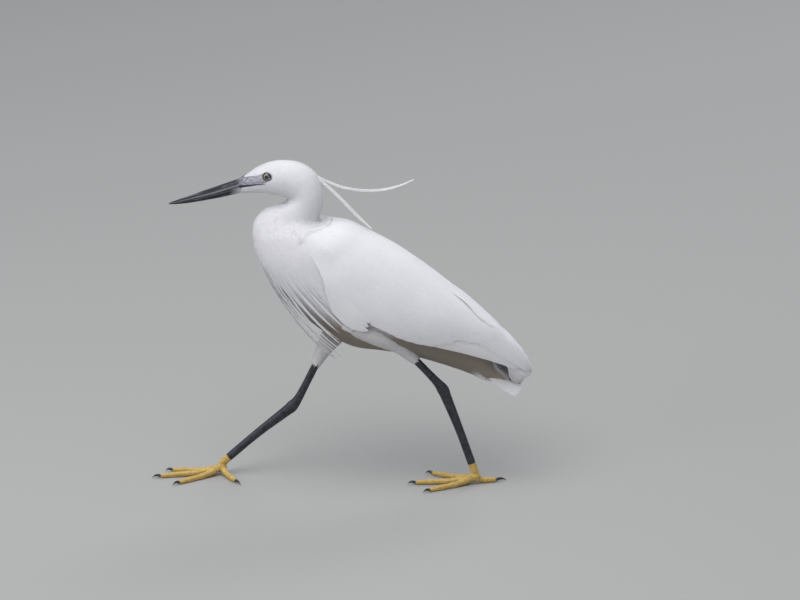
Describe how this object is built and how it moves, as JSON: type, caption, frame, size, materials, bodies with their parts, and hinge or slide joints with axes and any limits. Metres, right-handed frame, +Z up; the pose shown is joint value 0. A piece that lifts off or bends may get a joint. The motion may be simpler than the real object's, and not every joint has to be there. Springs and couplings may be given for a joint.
{
  "type": "egret",
  "caption": "Life-size white heron-like wading bird in mid-stride, neck drawn in, dagger bill, long dark legs, yellow feet, narrow plumes on the nape.",
  "frame": {"origin": "on the ground, below the centre of the bird's bounding box", "axes": "-X is where the bill points, +X the tail, +Y the bird's right side, +Z up"},
  "size_m": [0.4162, 0.097, 0.3627],
  "materials": {
    "white_feather": "matte white plumage",
    "bill_black": "smooth black horn",
    "eye_yellow": "wet pale yellow",
    "leg_black": "scaly black skin",
    "foot_yellow": "scaly yellow skin",
    "claw_black": "dark horn"
  },
  "bodies": {
    "root": {"head": "white_feather", "neck_upper": "white_feather", "neck_lower": "white_feather", "breast": "white_feather", "torso": "white_feather", "mantle": "white_feather", "wing_left": "white_feather", "wing_right": "white_feather", "tail": "white_feather", "crest_plume_upper": "white_feather", "crest_plume_lower": "white_feather", "thigh_left": "white_feather", "thigh_right": "white_feather", "bill_upper": "bill_black", "bill_lower": "bill_black", "eye_left": "eye_yellow", "eye_right": "eye_yellow", "shin_left": "leg_black", "shin_right": "leg_black", "shank_left": "leg_black", "shank_right": "leg_black", "foot_left": "foot_yellow", "foot_right": "foot_yellow", "claw_left_inner": "claw_black", "claw_left_middle": "claw_black", "claw_left_outer": "claw_black", "claw_left_hind": "claw_black", "claw_right_inner": "claw_black", "claw_right_middle": "claw_black", "claw_right_outer": "claw_black", "claw_right_hind": "claw_black"}
  },
  "joints": []
}
